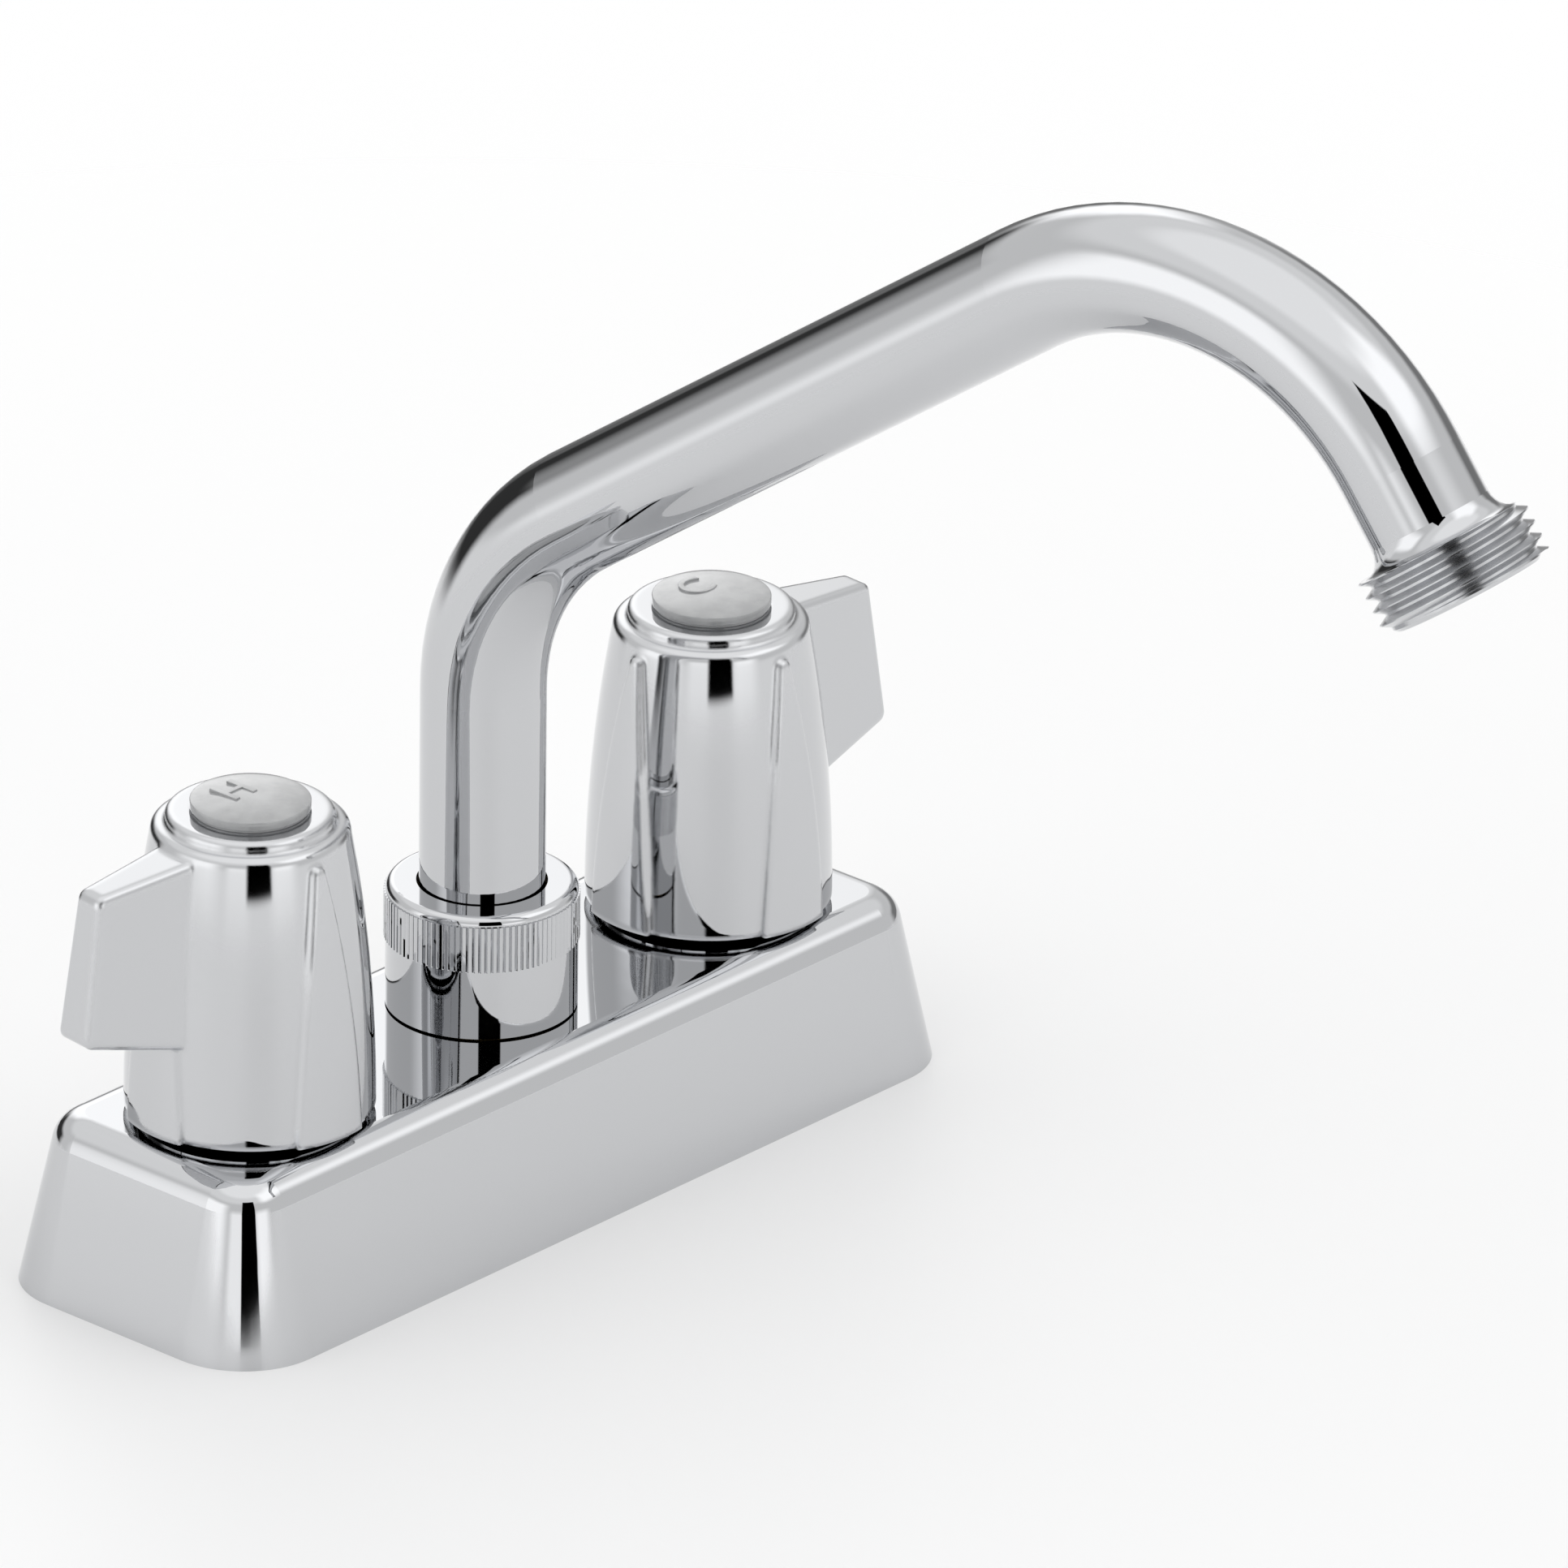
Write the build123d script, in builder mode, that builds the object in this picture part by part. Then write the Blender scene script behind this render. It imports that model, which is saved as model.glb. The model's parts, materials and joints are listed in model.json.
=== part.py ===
from build123d import *
import math
import os

# Two-handle utility sink faucet, in millimetres.
# The origin is on the sink deck, midway between the two inlets.
# +X points to the cold handle, -Y to the user, +Z up.

# Gaps between neighbours
rest_gap = 0.3
turned_fit = 0.05
thread_fit = 0.1

# Base cover and gasket
handle_spacing = 101.6
cover_length = 160.4
cover_width = 54.5
cover_height = 27.2
cover_corner_radius = 13.4
cover_draft = 12.4
cover_edge_radius = 5.0
cover_wall = 2.2
gasket_thickness = 2.4

# Valve bodies and their inlet shanks
valve_body_radius = 13.5
valve_neck_radius = 11.0
valve_neck_rise = 5.8
seat_pocket_depth = 8.0
valve_floor_thickness = 2.0
seat_offset = 4.6
inlet_hole_radius = 2.8
shank_radius = 10.4
shank_bore_radius = 7.5
shank_length = 38.0
shank_chamfer = 1.0
shank_thread_pitch = 1.814
shank_thread_depth = 0.9
shank_thread_length = 32.0
shank_crest_share = 0.375
shank_flank_share = 0.25
shank_root_share = 0.125

# Sink deck that the faucet is clamped to, and its lock nuts
sink_deck_thickness = 6.0
lock_washer_thickness = 1.6
lock_washer_radius = 17.0
lock_nut_flats = 30.0
lock_nut_height = 7.0
lock_nut_chamfer = 1.0

# Seats and springs
seat_radius = 4.5
seat_height = 4.4
seat_hole_radius = 2.4
seat_lift = 0.25
spring_radius = 3.7
spring_wire_radius = 0.35
spring_turns = 2.5

# Waterway tubes between the valve bodies and the hub, under the cover's top and above their floors
waterway_drop = 7.8
waterway_rise = 5.2
waterway_radius = 4.8
waterway_bore_radius = 3.2
waterway_valve_seat = 11.4
waterway_hub_seat = 11.5

# Valve stems
stem_drum_radius = 9.3
stem_disc_thickness = 2.2
stem_neck_radius = 4.5
stem_neck_height = 5.5
stem_port_radius = 2.4
stem_groove_rise = 5.0
stem_groove_height = 2.6
stem_groove_radius = 7.6
stem_ring_radius = 0.85
stem_shaft_radius = 4.8
stem_spline_length = 18.0
stem_spline_radius = 4.0
stem_spline_depth = 0.35
stem_spline_teeth = 20
stem_spline_crest_share = 0.15
stem_spline_foot_share = 0.3
stem_screw_depth = 14.0

# Bonnet nuts that clamp the cover to the valve bodies
bonnet_flange_radius = 14.2
bonnet_flange_height = 4.1
bonnet_flats = 25.0
bonnet_cap_thickness = 4.7
bonnet_edge_radius = 0.6

# Handles
handle_lift = 1.4
handle_height = 45.4
handle_bottom_radius = 18.8
handle_top_radius = 14.7
handle_bulge = 1.05
handle_shoulder_round = 1.4
handle_disc_radius = 12.75
handle_disc_rise = 1.8
handle_disc_round = 0.9
handle_wall = 2.2
handle_roof_thickness = 9.8
handle_boss_radius = 6.5
handle_boss_length = 20.0
handle_web_thickness = 3.7
handle_recess_depth = 3.8
handle_recess_radius = 8.2
handle_screw_hole_radius = 2.5

# Raised arches round each handle
arch_count = 4
arch_rise = 0.95
arch_half_width = 6.2
arch_tip_half_width = 1.0
arch_tip_drop = 2.4
arch_tip_round = 0.9
arch_bow = 0.7
arch_edge_round = 0.5

# Blade on each handle
hot_blade_angle = 173.0
cold_blade_angle = 356.0
blade_tip_top_reach = 31.0
blade_tip_top_drop = 3.2
blade_root_top_reach = 14.0
blade_root_top_drop = 1.4
blade_tip_low_reach = 34.2
blade_tip_low_rise = 19.0
blade_root_low_reach = 17.0
blade_root_low_rise = 14.8
blade_root_top_half = 4.2
blade_root_low_half = 6.2
blade_tip_top_half = 2.3
blade_tip_low_half = 3.7
blade_corner_round = 1.6
blade_edge_round = 0.8

# Handle screws and index buttons
screw_head_radius = 4.2
screw_head_height = 2.4
screw_radius = 2.4
screw_length = 14.0
screw_slot_width = 1.2
screw_slot_depth = 1.0
screw_head_chamfer = 0.5
button_radius = 9.05
button_side_height = 1.4
button_dome_height = 1.2
button_plug_depth = 1.2
button_edge_round = 0.3

# Hub that carries the spout
hub_radius = 12.9
hub_rise = 12.8
hub_bore_radius = 10.6
hub_flange_radius = 16.0
hub_flange_thickness = 3.0

# Spout nut and slip washer
nut_lift = 0.3
nut_skirt_radius = 14.5
nut_skirt_height = 11.0
nut_knurl_radius = 14.78
nut_knurl_height = 7.4
nut_knurl_depth = 0.3
nut_knurl_ridges = 100
nut_knurl_crest_share = 0.25
nut_cap_height = 1.4
nut_top_round = 1.3
nut_hole_radius = 9.9
nut_lip_thickness = 2.8
slip_washer_thickness = 1.2
slip_washer_radius = 12.2

# Ferrule on the foot of the spout
ferrule_length = 19.0
ferrule_socket_depth = 12.0
ferrule_bore_radius = 7.5
ferrule_flange_radius = 11.8
ferrule_flange_thickness = 2.95
ferrule_groove_radius = 8.75
ferrule_groove_height = 2.2
ferrule_groove_rise = 1.6
ferrule_groove_spacing = 4.0
spout_ring_radius = 0.88

# Spout tube
tube_radius = 9.525
tube_wall = 1.2
spout_swing = 7.6
spout_leg_length = 69.0
spout_rise_angle = 35.3
spout_rise_length = 164.6
spout_drop_angle = 55.1
spout_drop_length = 68.0
spout_lower_bend = 41.0
spout_upper_bend = 46.4

# Hose outlet on the spout
outlet_flare_length = 3.4
outlet_flare_radius = 11.3
outlet_flare_bow_share = 0.125
outlet_thread_radius = 13.495
outlet_thread_root = 12.07
outlet_thread_pitch = 2.209
outlet_thread_turns = 4
outlet_crest_width = 0.25
outlet_end_radius = 12.6
outlet_bore_radius = 7.6
outlet_mouth_radius = 9.6
outlet_mouth_depth = 4.0
outlet_spigot_length = 6.0

# Heights and places worked out from the sizes above
half_spacing = handle_spacing / 2
cover_slope = math.tan(math.radians(cover_draft))
cover_wall_run = cover_wall / math.cos(math.radians(cover_draft))
cover_underside = cover_height - cover_wall
valve_neck_top = cover_height + valve_neck_rise
waterway_height = cover_underside - waterway_drop
valve_chamber_floor = waterway_height - waterway_rise
seat_pocket_floor = valve_chamber_floor - seat_pocket_depth
chamber_radius = stem_drum_radius + thread_fit - turned_fit / 2
seat_pocket_radius = seat_radius + thread_fit
seat_bottom = valve_chamber_floor + seat_lift - seat_height
stem_bottom = valve_chamber_floor + rest_gap
stem_drum_base = stem_bottom + stem_disc_thickness + stem_neck_height
stem_groove_base = stem_drum_base + stem_groove_rise
stem_drum_top = valve_neck_top
bonnet_inner_top = valve_neck_top + rest_gap
bonnet_top = bonnet_inner_top + bonnet_cap_thickness
handle_bottom = cover_height + handle_lift
handle_shoulder_height = handle_bottom + handle_height
handle_disc_height = handle_shoulder_height + handle_disc_rise
handle_hollow_top = handle_disc_height - handle_roof_thickness
handle_web_top = handle_disc_height - handle_recess_depth
handle_boss_bottom = handle_web_top - handle_boss_length
stem_top = handle_web_top - handle_web_thickness - rest_gap
stem_spline_base = stem_top - stem_spline_length
arch_top = handle_shoulder_height - arch_tip_drop
blade_tip_top_height = handle_shoulder_height - blade_tip_top_drop
blade_root_top_height = handle_shoulder_height - blade_root_top_drop
blade_tip_low_height = handle_bottom + blade_tip_low_rise
blade_root_low_height = handle_bottom + blade_root_low_rise
hub_floor = waterway_height - waterway_rise
hub_top = cover_height + hub_rise
ferrule_radius = hub_bore_radius - turned_fit
ferrule_socket_radius = tube_radius + turned_fit
flange_bottom = hub_top + turned_fit
ferrule_bottom = hub_top - ferrule_length
ferrule_first_groove = ferrule_bottom + ferrule_groove_rise
flange_top = flange_bottom + ferrule_flange_thickness
washer_bottom = flange_top + thread_fit
nut_inner_radius = hub_radius + thread_fit
nut_bottom = cover_height + nut_lift
knurl_bottom = nut_bottom + nut_skirt_height
knurl_root_radius = nut_knurl_radius - nut_knurl_depth
nut_top_height = knurl_bottom + nut_knurl_height + nut_cap_height
nut_lip_bottom = nut_top_height - nut_lip_thickness
ferrule_step_height = flange_top - ferrule_socket_depth
tube_foot = ferrule_step_height + thread_fit
spout_corner_height = tube_foot + spout_leg_length
outlet_length = outlet_flare_length + outlet_thread_pitch * outlet_thread_turns

os.makedirs("parts", exist_ok=True)

# Base cover: a drafted chromed shell, open below, with three holes in its top
with BuildPart() as cover_hollow:
    with BuildSketch():
        RectangleRounded(
            cover_length - 2 * cover_wall_run,
            cover_width - 2 * cover_wall_run,
            cover_corner_radius - cover_wall_run,
        )
    extrude(amount=cover_underside, taper=cover_draft)
    fillet(cover_hollow.faces().sort_by(Axis.Z)[-1].edges(), cover_edge_radius - cover_wall)

with BuildPart() as base_cover:
    with BuildSketch():
        RectangleRounded(cover_length, cover_width, cover_corner_radius)
    extrude(amount=cover_height, taper=cover_draft)
    fillet(base_cover.faces().sort_by(Axis.Z)[-1].edges(), cover_edge_radius)
    add(cover_hollow.part, mode=Mode.SUBTRACT)
    with BuildSketch():
        with Locations((-half_spacing, 0), (half_spacing, 0)):
            Circle(valve_neck_radius + rest_gap)
        Circle(hub_radius + rest_gap)
    extrude(amount=cover_height, mode=Mode.SUBTRACT)
base_cover.part.label = "base_cover"
export_step(base_cover.part, "parts/base_cover.step")

# Deck gasket: fills the foot of the cover and seals round the shanks
gasket_inset = cover_wall_run + gasket_thickness * cover_slope + rest_gap
with BuildPart() as deck_gasket:
    with BuildSketch():
        RectangleRounded(
            cover_length - 2 * gasket_inset,
            cover_width - 2 * gasket_inset,
            cover_corner_radius - gasket_inset,
        )
        with Locations((-half_spacing, 0), (half_spacing, 0)):
            Circle(shank_radius + rest_gap, mode=Mode.SUBTRACT)
    extrude(amount=gasket_thickness)
deck_gasket.part.label = "deck_gasket"
export_step(deck_gasket.part, "parts/deck_gasket.step")

# Hub: a brass cup under the spout, fed from both sides
with BuildPart() as spout_hub:
    with BuildSketch(Plane.XZ):
        with BuildLine():
            Polyline(
                (0, gasket_thickness),
                (hub_radius, gasket_thickness),
                (hub_radius, cover_underside - hub_flange_thickness),
                (hub_flange_radius, cover_underside - hub_flange_thickness),
                (hub_flange_radius, cover_underside),
                (hub_radius, cover_underside),
                (hub_radius, hub_top),
                (hub_bore_radius, hub_top),
                (hub_bore_radius, hub_floor),
                (0, hub_floor),
                close=True,
            )
        make_face()
    revolve(axis=Axis.Z)
    with BuildSketch(Plane.YZ):
        with Locations((0, waterway_height)):
            Circle(waterway_bore_radius)
    extrude(amount=hub_flange_radius, both=True, mode=Mode.SUBTRACT)
    for side_plane in (Plane.YZ.offset(waterway_hub_seat), Plane.YZ.offset(-hub_flange_radius)):
        with BuildSketch(side_plane):
            with Locations((0, waterway_height)):
                Circle(waterway_radius + turned_fit)
        extrude(amount=hub_flange_radius - waterway_hub_seat, mode=Mode.SUBTRACT)
spout_hub.part.label = "spout_hub"
export_step(spout_hub.part, "parts/spout_hub.step")

# Slip washer between the ferrule and the nut
with BuildPart() as slip_washer:
    with BuildSketch(Plane.XY.offset(washer_bottom)):
        Circle(slip_washer_radius)
        Circle(nut_hole_radius, mode=Mode.SUBTRACT)
    extrude(amount=slip_washer_thickness)
slip_washer.part.label = "slip_washer"
export_step(slip_washer.part, "parts/slip_washer.step")

# Spout nut: plain skirt, knurled band, rounded top
knurl_step = 2 * math.pi / nut_knurl_ridges
knurl_points = []
for ridge in range(nut_knurl_ridges):
    for turn_share, radius in (
        (-2 * nut_knurl_crest_share, knurl_root_radius),
        (-nut_knurl_crest_share, nut_knurl_radius),
        (nut_knurl_crest_share, nut_knurl_radius),
    ):
        angle = (ridge + turn_share) * knurl_step
        knurl_points.append((radius * math.cos(angle), radius * math.sin(angle)))

with BuildPart() as spout_nut:
    with BuildSketch(Plane.XZ) as nut_profile:
        with BuildLine():
            Polyline(
                (nut_inner_radius, nut_bottom),
                (nut_skirt_radius, nut_bottom),
                (nut_skirt_radius, knurl_bottom + nut_knurl_depth),
                (knurl_root_radius, knurl_bottom + nut_knurl_depth),
                (knurl_root_radius, knurl_bottom + nut_knurl_height),
                (nut_skirt_radius, knurl_bottom + nut_knurl_height),
                (nut_skirt_radius, nut_top_height),
                (nut_hole_radius, nut_top_height),
                (nut_hole_radius, nut_lip_bottom),
                (nut_inner_radius, nut_lip_bottom),
                close=True,
            )
        make_face()
        top_corner = nut_profile.vertices().sort_by_distance((nut_skirt_radius, nut_top_height))
        fillet(top_corner[0], nut_top_round)
    revolve(axis=Axis.Z)
    with BuildSketch(Plane.XY.offset(knurl_bottom)):
        with BuildLine():
            Polyline(*knurl_points, close=True)
        make_face()
        Circle(knurl_root_radius - nut_knurl_depth, mode=Mode.SUBTRACT)
    extrude(amount=nut_knurl_height)
spout_nut.part.label = "spout_nut"
export_step(spout_nut.part, "parts/spout_nut.step")

# Ferrule: carries the tube and turns in the hub on two O-rings
groove_bases = [ferrule_first_groove, ferrule_first_groove + ferrule_groove_spacing]
groove_outline = []
for base in groove_bases:
    groove_outline += [
        (ferrule_radius, base),
        (ferrule_groove_radius, base),
        (ferrule_groove_radius, base + ferrule_groove_height),
        (ferrule_radius, base + ferrule_groove_height),
    ]

with BuildPart() as spout_ferrule:
    with BuildSketch(Plane.XZ):
        with BuildLine():
            Polyline(
                (ferrule_bore_radius, ferrule_bottom),
                (ferrule_radius, ferrule_bottom),
                *groove_outline,
                (ferrule_radius, flange_bottom),
                (ferrule_flange_radius, flange_bottom),
                (ferrule_flange_radius, flange_top),
                (ferrule_socket_radius, flange_top),
                (ferrule_socket_radius, ferrule_step_height),
                (ferrule_bore_radius, ferrule_step_height),
                close=True,
            )
        make_face()
    revolve(axis=Axis.Z)
spout_ferrule.part.label = "spout_ferrule"
export_step(spout_ferrule.part, "parts/spout_ferrule.step")

# O-rings in the ferrule's two grooves
with BuildPart() as spout_o_rings:
    for base in groove_bases:
        with Locations((0, 0, base + ferrule_groove_height / 2)):
            Torus(ferrule_groove_radius + spout_ring_radius, spout_ring_radius)
spout_o_rings.part.label = "spout_o_rings"
export_step(spout_o_rings.part, "parts/spout_o_rings.step")

# Spout tube: a vertical leg, a rise and a drop, joined by two bends
swing = math.radians(spout_swing)
rise = math.radians(spout_rise_angle)
drop = math.radians(spout_drop_angle)
forward = Vector(math.sin(swing), -math.cos(swing), 0)
up = Vector(0, 0, 1)
drop_direction = forward * math.cos(drop) - up * math.sin(drop)
lower_corner = up * spout_corner_height
upper_corner = lower_corner + (forward * math.cos(rise) + up * math.sin(rise)) * spout_rise_length
spout_end = upper_corner + drop_direction * spout_drop_length
tube_end = spout_end - drop_direction * outlet_length

with BuildPart() as spout_tube:
    with BuildLine():
        route = FilletPolyline(
            up * tube_foot,
            lower_corner,
            upper_corner,
            tube_end,
            radius=[spout_lower_bend, spout_upper_bend],
        )
    with BuildSketch(Plane.XY.offset(tube_foot)):
        Circle(tube_radius)
    sweep(path=route)
    with BuildSketch(Plane.XY.offset(tube_foot)):
        Circle(tube_radius - tube_wall)
    sweep(path=route, mode=Mode.SUBTRACT)
spout_tube.part.label = "spout_tube"
export_step(spout_tube.part, "parts/spout_tube.step")
tube_section = math.pi * (tube_radius**2 - (tube_radius - tube_wall) ** 2)
print("tube volume share", spout_tube.part.volume / (tube_section * route.length))

# Hose outlet: a flared end with a garden hose thread, let into the tube
outlet_side = up.cross(forward)
outlet_plane = Plane(origin=tube_end, x_dir=outlet_side, z_dir=outlet_side.cross(drop_direction))
outlet_thread = []
for turn in range(outlet_thread_turns):
    crest_middle = outlet_flare_length + (turn + 1 / 2) * outlet_thread_pitch
    outlet_thread += [
        (outlet_thread_radius, crest_middle - outlet_crest_width / 2),
        (outlet_thread_radius, crest_middle + outlet_crest_width / 2),
    ]
    if turn < outlet_thread_turns - 1:
        outlet_thread.append((outlet_thread_root, crest_middle + outlet_thread_pitch / 2))

with BuildPart() as hose_outlet:
    with BuildSketch(outlet_plane):
        with BuildLine():
            Line((tube_radius, 0), (tube_radius - tube_wall - turned_fit, 0))
            Polyline(
                (tube_radius - tube_wall - turned_fit, 0),
                (tube_radius - tube_wall - turned_fit, -outlet_spigot_length),
                (outlet_bore_radius, -outlet_spigot_length),
                (outlet_bore_radius, outlet_length - outlet_mouth_depth),
                (outlet_mouth_radius, outlet_length - outlet_mouth_depth),
                (outlet_mouth_radius, outlet_length),
                (outlet_end_radius, outlet_length),
                *reversed(outlet_thread),
                (outlet_flare_radius, outlet_flare_length),
            )
            SagittaArc(
                (outlet_flare_radius, outlet_flare_length),
                (tube_radius, 0),
                outlet_flare_length * outlet_flare_bow_share,
            )
        make_face()
    revolve(axis=Axis(tube_end, drop_direction))
hose_outlet.part.label = "hose_outlet"
export_step(hose_outlet.part, "parts/hose_outlet.step")

# Shank thread: ridges between the chamfered end and the plain neck
shank_thread = []
shank_turns = int(shank_thread_length / shank_thread_pitch)
for turn in range(shank_turns):
    crest_start = shank_chamfer - shank_length + turn * shank_thread_pitch
    crest_end = crest_start + shank_crest_share * shank_thread_pitch
    root_start = crest_end + shank_flank_share * shank_thread_pitch
    root_end = root_start + shank_root_share * shank_thread_pitch
    shank_thread += [
        (shank_radius, crest_start),
        (shank_radius, crest_end),
        (shank_radius - shank_thread_depth, root_start),
        (shank_radius - shank_thread_depth, root_end),
    ]
shank_thread.append((shank_radius, shank_chamfer - shank_length + shank_turns * shank_thread_pitch))

# Splined end of the stems
spline_points = []
for tooth in range(stem_spline_teeth):
    for turn_share, radius in (
        (-stem_spline_foot_share, stem_spline_radius - stem_spline_depth),
        (-stem_spline_crest_share, stem_spline_radius),
        (stem_spline_crest_share, stem_spline_radius),
        (stem_spline_foot_share, stem_spline_radius - stem_spline_depth),
    ):
        angle = (tooth + turn_share) * 2 * math.pi / stem_spline_teeth
        spline_points.append((radius * math.cos(angle), radius * math.sin(angle)))


# Height or half thickness of the blade at a reach, on a straight line through root and tip
def along(reach, root_reach, root_size, tip_reach, tip_size):
    return root_size + (tip_size - root_size) * (reach - root_reach) / (tip_reach - root_reach)


# The pieces of each side: the hot ones at -X and the cold ones at +X
for side, inward, blade_angle in (("hot", 1, hot_blade_angle), ("cold", -1, cold_blade_angle)):
    centre = Vector(-inward * half_spacing, 0, 0)
    level = Plane(origin=centre, x_dir=(inward, 0, 0), z_dir=(0, 0, 1))
    upright = Plane(origin=centre, x_dir=(1, 0, 0), z_dir=(0, -1, 0))
    sideways = Plane(origin=centre, x_dir=(0, inward, 0), z_dir=(inward, 0, 0))
    axis = Axis(centre, (0, 0, 1))
    turn = math.radians(blade_angle)
    blade_way = Vector(math.cos(turn), math.sin(turn), 0)

    # Valve body: chamber above, threaded inlet shank below, outlet towards the hub
    with BuildPart() as valve_body:
        with BuildSketch(upright):
            with BuildLine():
                Polyline(
                    (shank_bore_radius, -shank_length),
                    (shank_radius - shank_chamfer, -shank_length),
                    *shank_thread,
                    (shank_radius, gasket_thickness),
                    (valve_body_radius, gasket_thickness),
                    (valve_body_radius, cover_underside),
                    (valve_neck_radius, cover_underside),
                    (valve_neck_radius, valve_neck_top),
                    (chamber_radius, valve_neck_top),
                    (chamber_radius, valve_chamber_floor),
                    (0, valve_chamber_floor),
                    (0, seat_pocket_floor - valve_floor_thickness),
                    (shank_bore_radius, seat_pocket_floor - valve_floor_thickness),
                    close=True,
                )
            make_face()
        revolve(axis=axis)
        with BuildSketch(level.offset(seat_pocket_floor)):
            with Locations((-seat_offset, 0)):
                Circle(seat_pocket_radius)
        extrude(amount=valve_chamber_floor - seat_pocket_floor, mode=Mode.SUBTRACT)
        with BuildSketch(level.offset(seat_pocket_floor - valve_floor_thickness)):
            with Locations((-seat_offset, 0)):
                Circle(inlet_hole_radius)
        extrude(amount=valve_floor_thickness, mode=Mode.SUBTRACT)
        with BuildSketch(sideways):
            with Locations((0, waterway_height)):
                Circle(waterway_bore_radius)
        extrude(amount=valve_body_radius, mode=Mode.SUBTRACT)
        with BuildSketch(sideways.offset(waterway_valve_seat)):
            with Locations((0, waterway_height)):
                Circle(waterway_radius + turned_fit)
        extrude(amount=valve_body_radius - waterway_valve_seat, mode=Mode.SUBTRACT)
    valve_body.part.label = side + "_valve_body"
    export_step(valve_body.part, "parts/" + side + "_valve_body.step")

    # Waterway tube from the valve body to the hub
    with BuildPart() as waterway_tube:
        with BuildSketch(sideways.offset(waterway_valve_seat)):
            with Locations((0, waterway_height)):
                Circle(waterway_radius)
                Circle(waterway_bore_radius, mode=Mode.SUBTRACT)
        extrude(amount=half_spacing - waterway_valve_seat - waterway_hub_seat)
    waterway_tube.part.label = side + "_waterway_tube"
    export_step(waterway_tube.part, "parts/" + side + "_waterway_tube.step")

    # Rubber seat that the stem's disc slides over
    with BuildPart() as valve_seat:
        with BuildSketch(level.offset(seat_bottom)):
            with Locations((-seat_offset, 0)):
                Circle(seat_radius)
                Circle(seat_hole_radius, mode=Mode.SUBTRACT)
        extrude(amount=seat_height)
    valve_seat.part.label = side + "_valve_seat"
    export_step(valve_seat.part, "parts/" + side + "_valve_seat.step")

    # Spring under the seat
    spring_foot = seat_pocket_floor + spring_wire_radius
    spring_rise = seat_bottom - seat_pocket_floor - 2 * spring_wire_radius - turned_fit
    with BuildPart() as seat_spring:
        with BuildLine() as coil:
            Helix(
                pitch=spring_rise / spring_turns,
                height=spring_rise,
                radius=spring_radius,
                center=centre + Vector(-inward * seat_offset, 0, spring_foot),
            )
        with BuildSketch(Plane(origin=coil.line @ 0, z_dir=coil.line % 0)):
            Circle(spring_wire_radius)
        sweep(path=coil.line, is_frenet=True)
    seat_spring.part.label = side + "_seat_spring"
    export_step(seat_spring.part, "parts/" + side + "_seat_spring.step")

    # Stem: a ported disc, a drum with a groove, and a splined shaft
    with BuildPart() as valve_stem:
        with BuildSketch(upright):
            with BuildLine():
                Polyline(
                    (0, stem_bottom),
                    (stem_drum_radius, stem_bottom),
                    (stem_drum_radius, stem_bottom + stem_disc_thickness),
                    (stem_neck_radius, stem_bottom + stem_disc_thickness),
                    (stem_neck_radius, stem_drum_base),
                    (stem_drum_radius, stem_drum_base),
                    (stem_drum_radius, stem_groove_base),
                    (stem_groove_radius, stem_groove_base),
                    (stem_groove_radius, stem_groove_base + stem_groove_height),
                    (stem_drum_radius, stem_groove_base + stem_groove_height),
                    (stem_drum_radius, stem_drum_top),
                    (stem_shaft_radius, stem_drum_top),
                    (stem_shaft_radius, stem_spline_base),
                    (0, stem_spline_base),
                    close=True,
                )
            make_face()
        revolve(axis=axis)
        with BuildSketch(level.offset(stem_spline_base)):
            with BuildLine():
                Polyline(*spline_points, close=True)
            make_face()
        extrude(amount=stem_top - stem_spline_base)
        with BuildSketch(level.offset(stem_top - stem_screw_depth)):
            Circle(screw_radius + turned_fit)
        extrude(amount=stem_screw_depth, mode=Mode.SUBTRACT)
        with BuildSketch(level.offset(stem_bottom)):
            with Locations((0, -seat_offset)):
                Circle(stem_port_radius)
        extrude(amount=stem_disc_thickness, mode=Mode.SUBTRACT)
    valve_stem.part.label = side + "_valve_stem"
    export_step(valve_stem.part, "parts/" + side + "_valve_stem.step")

    # O-ring in the stem's groove
    with BuildPart(level.offset(stem_groove_base + stem_groove_height / 2)) as stem_o_ring:
        Torus(stem_groove_radius + stem_ring_radius, stem_ring_radius)
    stem_o_ring.part.label = side + "_stem_o_ring"
    export_step(stem_o_ring.part, "parts/" + side + "_stem_o_ring.step")

    # Bonnet nut: round flange on the cover, hexagon above it
    with BuildPart() as bonnet_nut:
        with BuildSketch(level.offset(cover_height)):
            Circle(bonnet_flange_radius)
        extrude(amount=bonnet_flange_height)
        fillet(bonnet_nut.faces().sort_by(Axis.Z)[-1].edges(), bonnet_edge_radius)
        with BuildSketch(level.offset(cover_height)):
            RegularPolygon(bonnet_flats / 2, 6, major_radius=False)
        extrude(amount=bonnet_top - cover_height)
        with BuildSketch(level.offset(cover_height)):
            Circle(valve_neck_radius + turned_fit)
        extrude(amount=bonnet_inner_top - cover_height, mode=Mode.SUBTRACT)
        with BuildSketch(level.offset(bonnet_inner_top)):
            Circle(stem_shaft_radius + rest_gap)
        extrude(amount=bonnet_top - bonnet_inner_top, mode=Mode.SUBTRACT)
    bonnet_nut.part.label = side + "_bonnet_nut"
    export_step(bonnet_nut.part, "parts/" + side + "_bonnet_nut.step")

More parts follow.
